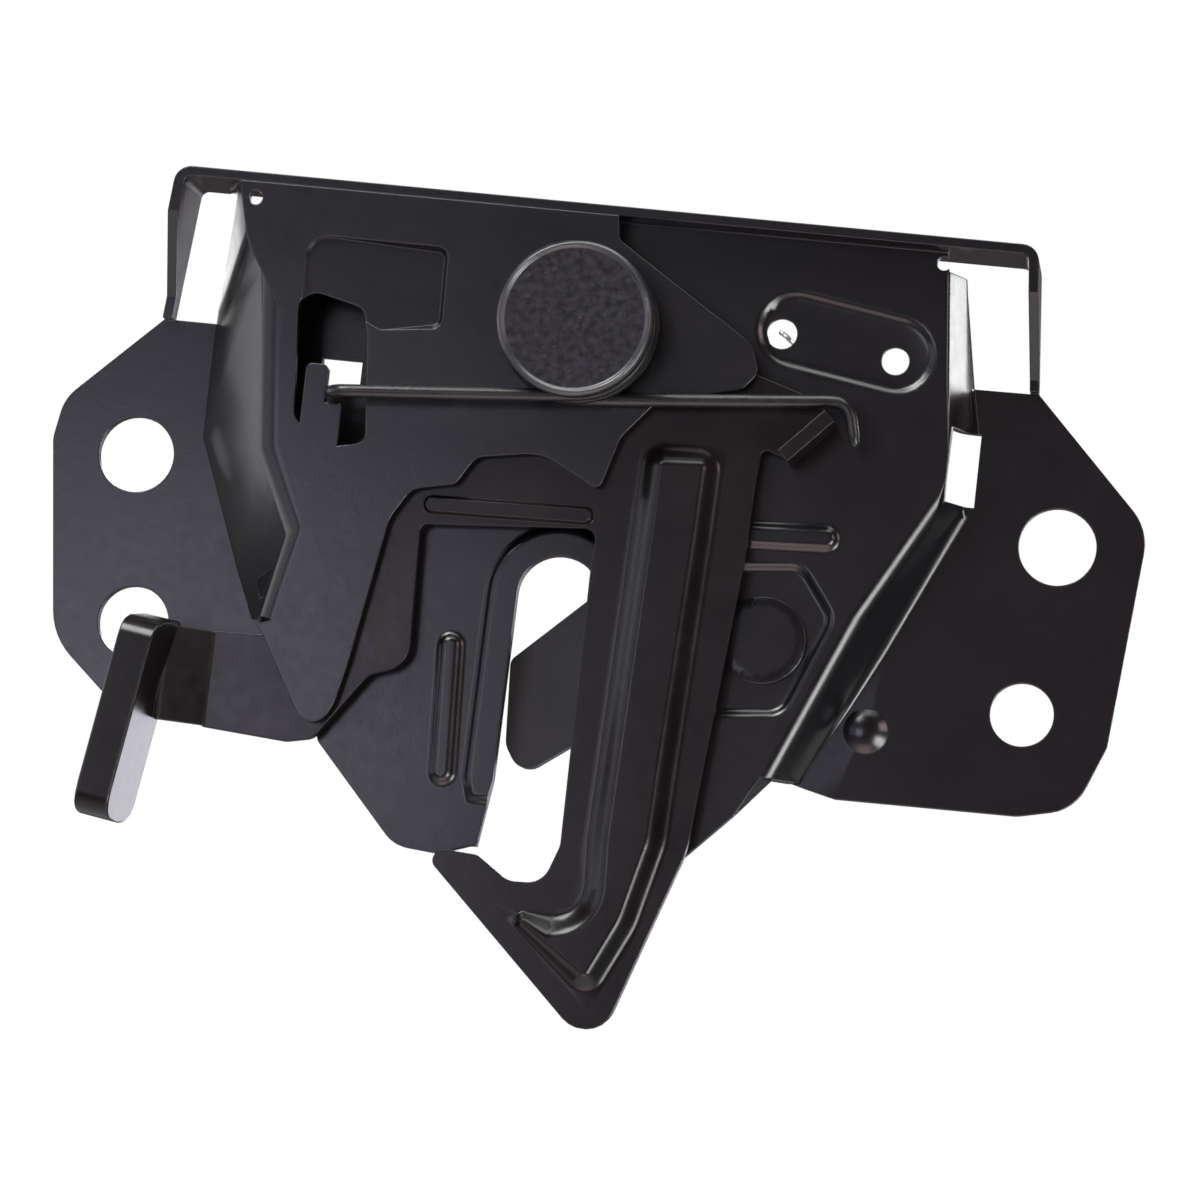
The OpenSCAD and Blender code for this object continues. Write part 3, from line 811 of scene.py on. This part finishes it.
@dataclass
class PivotStud(Piece):
    """Large-headed shoulder rivet with a gritty, dished head and a worn rim."""

    node: str = "pivot_stud"
    body: Body = Body.BASE
    finish: Finish = GRITTY
    slot: Slot = Slot.STEEL
    rim_finish: Finish = WORN_RIM
    rim_mm: float = 0.8
    dish_mm: float = 0.45
    slope_mm: float = 0.5
    under_head_mm: float = 8.0
    hub_mm: float = 10.8
    shank_mm: float = 5.0
    rear_head_mm: float = 1.8
    rear_lip_mm: float = 3.0
    rear_top_mm: float = 2.2
    round_mm: float = 0.15
    steps: int = 128
    worn_mm: float = 0.6

    def place(self) -> tuple[Vector, float, float, float]:
        """Measures the solid.

        Returns:
            Point on the axis in metres, then the head's radius, its front and the rear end in millimetres.
        """
        low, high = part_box(self.node)
        centre = Vector(((low.x + high.x) / 2, 0.0, (low.z + high.z) / 2))
        return centre, (high.x - low.x) / 2 / MM, low.y / MM, high.y / MM

    def shape(self) -> bpy.types.Object:
        """Turns the rivet from its profile.

        Returns:
            The bare mesh.
        """
        centre, radius, front, rear = self.place()
        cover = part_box("front_plate")[0].y / MM
        under = cover - self.under_head_mm
        dish = front + self.dish_mm
        neck = rear - self.rear_head_mm
        profile = [(0.0, dish), (radius - self.rim_mm - self.slope_mm, dish), (radius - self.rim_mm, front),
                   (radius - self.slope_mm, front), (radius, front + self.slope_mm), (radius, under),
                   (self.hub_mm, under), (self.hub_mm, cover), (self.shank_mm, cover), (self.shank_mm, neck),
                   (self.shank_mm + self.rear_lip_mm, neck), (self.shank_mm + self.rear_top_mm, rear),
                   (0.0, rear)]
        return spun(f"{self.node}_dressed", profile, centre, self.round_mm, self.steps)

    def dress(self, piece: bpy.types.Object) -> None:
        """Gives the head its grit and the rim its worn finish.

        Args:
            piece: The bare mesh.
        """
        super().dress(piece)
        piece.data.materials.append(self.rim_finish.material())
        centre, radius, front, _ = self.place()
        for face in piece.data.polygons:
            out = Vector((face.center.x - centre.x, 0.0, face.center.z - centre.z)).length / MM
            if out > radius - self.rim_mm - self.worn_mm and face.center.y / MM < front + self.worn_mm:
                face.material_index = 1


@dataclass(frozen=True)
class Lamp:
    """A soft square lamp, with its side in metres and its power in watts."""

    name: str
    place_mm: Point
    size: float
    power: float
    colour: Colour = WHITE

    def build(self, target: Vector) -> None:
        """Adds the lamp to the scene.

        Args:
            target: Point that it faces, in metres.
        """
        data = bpy.data.lights.new(self.name, "AREA")
        data.color = self.colour
        data.shape, data.size, data.energy = "SQUARE", self.size, self.power
        lamp = bpy.data.objects.new(self.name, data)
        lamp.location = Vector(self.place_mm) * MM
        lamp.rotation_euler = (target - lamp.location).to_track_quat("-Z", "Y").to_euler()
        bpy.context.scene.collection.objects.link(lamp)


LAMPS = (
    Lamp("Key", (-420, -520, 640), 0.40, 14.0),
    Lamp("Left_panel", (-300, -845, -60), 0.30, 1.7, (0.82, 0.79, 1.0)),
    Lamp("Left_wide", (-780, -600, 60), 0.5, 1.6, (0.88, 0.88, 1.0)),
    Lamp("Front", (-150, -1100, 120), 0.3, 0.12),
    Lamp("Left_side", (-900, -40, 30), 0.6, 3.2, (0.92, 0.93, 1.0)),
    Lamp("Left_rear", (-850, 320, 60), 0.4, 0.4),
    Lamp("Fill", (640, -520, 260), 0.3, 2.5, (1.0, 0.80, 0.76)),
    Lamp("Right_low", (600, -650, -330), 0.36, 10.0),
    Lamp("Warm_right", (160, -880, 50), 0.25, 0.06, (1.0, 0.35, 0.30)),
    Lamp("Below", (20, -380, -560), 0.4, 1.5, (1.0, 0.62, 0.58)),
    Lamp("Top", (60, -200, 720), 0.5, 6.5),
    Lamp("Right_back", (760, 430, 160), 0.4, 8.0),
    Lamp("Low_back", (489, 744, -115), 0.5, 6.0, (0.90, 0.90, 1.0)),
    Lamp("Back", (-500, 640, 320), 0.6, 3.5),
    Lamp("Rear", (-250, 850, 300), 0.5, 4.0),
)


@dataclass
class Studio:
    """Camera at the photograph's place, soft lamps, a pale floor and a white surround."""

    target_mm: Point = (4.07, -8.0, -17.48)
    azimuth: float = 7.0
    elevation: float = -5.0
    roll: float = 6.5
    distance_mm: float = 900.0
    frame_mm: float = 204.0
    sensor_mm: float = 36.0
    clip_m: Span = (0.01, 20.0)
    lamps: tuple[Lamp, ...] = LAMPS
    floor_z_mm: float = -800.0
    floor_half_m: float = 3.0
    floor_cells: int = 4
    floor_grey: float = 0.92
    floor_roughness: float = 0.9
    floor_glow: float = 0.7
    surround_tint: Colour = (1.0, 0.80, 0.80)
    surround_light: float = 0.09

    def build(self) -> None:
        """Sets up the camera, the lamps, the floor and the world."""
        self._camera()
        for lamp in self.lamps:
            lamp.build(Vector(self.target_mm) * MM)
        self._floor()
        self._world()
        bpy.context.scene.view_settings.view_transform = "Standard"

    def _camera(self) -> None:
        """Places the camera by its angles, its roll and the width of its frame at the target."""
        a, e, r = (math.radians(v) for v in (self.azimuth, self.elevation, self.roll))
        back = Vector((math.sin(a) * math.cos(e), -math.cos(a) * math.cos(e), math.sin(e)))
        right = Vector((math.cos(a), math.sin(a), 0.0))
        up = back.cross(right)
        data = bpy.data.cameras.new("Camera")
        data.sensor_width = self.sensor_mm
        data.lens = data.sensor_width * self.distance_mm / self.frame_mm
        data.clip_start, data.clip_end = self.clip_m
        camera = bpy.data.objects.new("Camera", data)
        across = right * math.cos(r) + up * math.sin(r)
        upright = up * math.cos(r) - right * math.sin(r)
        turn = Matrix((across, upright, back)).transposed().to_4x4()
        place = Vector(self.target_mm) * MM + back * self.distance_mm * MM
        camera.matrix_world = Matrix.Translation(place) @ turn
        bpy.context.scene.collection.objects.link(camera)
        bpy.context.scene.camera = camera

    def _floor(self) -> None:
        """Adds a pale floor well below the latch, which glows a little to the eye alone."""
        mesh = bmesh.new()
        bmesh.ops.create_grid(mesh, x_segments=self.floor_cells, y_segments=self.floor_cells,
                              size=self.floor_half_m)
        bmesh.ops.translate(mesh, verts=mesh.verts, vec=(0.0, 0.0, self.floor_z_mm * MM))
        floor = placed(mesh, "Floor")
        material = bpy.data.materials.new("Pale_floor")
        material.use_nodes = True
        graph = NodeGraph(material.node_tree)
        shader = material.node_tree.nodes["Principled BSDF"]
        shader.inputs["Base Color"].default_value = (*(self.floor_grey,) * 3, 1.0)
        shader.inputs["Roughness"].default_value = self.floor_roughness
        shader.inputs["Emission Color"].default_value = (*WHITE, 1.0)
        seen = graph.add("ShaderNodeLightPath").outputs["Is Camera Ray"]
        graph.join(graph.ranged(seen, UNIT, (0.0, self.floor_glow)), shader.inputs["Emission Strength"])
        floor.data.materials.append(material)

    def _world(self) -> None:
        """Makes the surround white to the eye, and dim as light and in reflections."""
        world = bpy.data.worlds.new("Surround")
        bpy.context.scene.world = world
        world.use_nodes = True
        graph = NodeGraph(world.node_tree)
        background = world.node_tree.nodes["Background"]
        seen = graph.add("ShaderNodeLightPath").outputs["Is Camera Ray"]
        graph.join(graph.blend(seen, self.surround_tint, WHITE), background.inputs["Color"])
        graph.join(graph.ranged(seen, UNIT, (self.surround_light, 1.0)), background.inputs["Strength"])


# Depths of the pressed levels, in millimetres.
FACE = -10.0
BEAD_TOP = -11.0
RECESS_FLOOR = -9.0
POCKET_FLOOR = -15.7
LEVER_FACE = -14.1
LEVER_BEAD_TOP = -15.1

# Places on the pressings, in millimetres.
OVAL_RECESS: Box = ((22, -12, 18), (60, -8, 42))
POCKET: Box = ((-36, -17, 24.5), (-20, -14, 42))
POCKET_RIM: Box = ((-53, -17, 20), (-26, -14, 42))
LEFT_WALL_FOOT: Box = ((-60, -18, -30), (-46, 0, -8))
LEVER_BEAD: Box = ((-29, -16, -9), (4, -11, -1))
FINGER_TAB: Box = ((-90, -40, -70), (-63.5, -17.4, -20))

HOOK_RIDGE = Ridge(
    ((9.1, 9.6, 4.2, 4.0), (23.2, 9.6, 4.0, 3.6), (22.8, -6.0, 12.0, 3.6), (21.1, -48.0, 12.0, 3.6),
     (20.8, -58.0, 12.0, 3.6), (17.3, -72.5, 12.0, 3.6), (10.7, -86.4, 3.8, 3.5), (-7.0, -71.35, 1.9, 1.8),
     (7.6, -71.6, 5.0, 4.2), (7.0, -58.0, 12.0, 4.2), (8.7, -2.8, 12.0, 4.2)),
    level_mm=LEVER_FACE, height_mm=2.4)


def pressings() -> list[Piece]:
    """Lists the two plates and the safety lever.

    Returns:
        The pressings in building order.
    """
    return [
        Pressing("base_plate", Body.BASE, COATED, bend_mm=1.9, hollow_mm=1.4,
                 drafts=(Draft(BEAD_TOP, 1.0, True), Draft(RECESS_FLOOR, 1.5, False, OVAL_RECESS),
                         Draft(RECESS_FLOOR, 1.0, False)),
                 places=(Edge(0.0, SLOPE_IN, level_mm=RECESS_FLOOR, box_mm=OVAL_RECESS),
                         Edge(0.5, SLOPE_OUT, level_mm=BEAD_TOP), Edge(0.5, SLOPE_IN, level_mm=FACE),
                         Edge(0.5, SLOPE_OUT, level_mm=FACE), Edge(0.5, SLOPE_IN, level_mm=RECESS_FLOOR))),
        Pressing("front_plate", Body.BASE, COATED, bend_mm=2.2,
                 drafts=(Draft(POCKET_FLOOR, 0.8, False, POCKET, sink=0.048),),
                 places=(Edge(0.0, ANY_ANGLE, box_mm=POCKET_RIM), Edge(0.0, VALLEY, box_mm=LEFT_WALL_FOOT))),
        Pressing("safety_lever", Body.LEVER, HOOK_COATED, bend_mm=2.2, hollow_mm=1.2,
                 drafts=(Draft(LEVER_BEAD_TOP, 0.5, True),), ridge=HOOK_RIDGE,
                 places=(Edge(0.0, ANY_ANGLE, box_mm=LEVER_BEAD), Edge(2.7, SHARP_OUT, box_mm=FINGER_TAB))),
    ]


def mechanism() -> list[Piece]:
    """Lists the lever's pivot and spring, then the catch and the pawl with theirs.

    Returns:
        The small pieces in building order.
    """
    return [
        PivotStud(),
        Spring("lever_spring", Body.LEVER, BLACK_WIRE, Slot.STEEL, (-3.2, -23.3, 27.5), (-3.2, -18.1, 27.5)),
        Hardware("lever_bush", Body.BASE, DULL_ZINC, Slot.ZINC),
        Hardware("lever_washer", Body.BASE, DULL_ZINC, Slot.ZINC),
        Hardware("catch", Body.CATCH, PHOSPHATED, Slot.STEEL),
        Hardware("catch_rivet", Body.BASE, COATED, Slot.STEEL),
        Hardware("catch_washer", Body.BASE, DULL_ZINC, Slot.ZINC),
        Spring("catch_spring", Body.CATCH, DULL_ZINC, Slot.ZINC, (32.5, -7.2, -21.6), (32.5, -5.25, -21.6)),
        Hardware("pawl", Body.PAWL, PHOSPHATED, Slot.STEEL),
        Hardware("pawl_pin", Body.BASE, PHOSPHATED, Slot.STEEL),
        Hardware("pawl_washer", Body.BASE, DULL_ZINC, Slot.ZINC),
        Spring("pawl_spring", Body.PAWL, DULL_ZINC, Slot.ZINC, (31.0, -2.45, 30.0), (50.0, -2.45, 19.5)),
    ]


def main() -> None:
    """Builds the latch's pieces in order, then the studio."""
    logging.basicConfig(level=logging.INFO, format="%(name)s: %(message)s")
    for piece in pressings() + mechanism():
        piece.build()
    Studio().build()


if __name__ == "__main__":
    main()
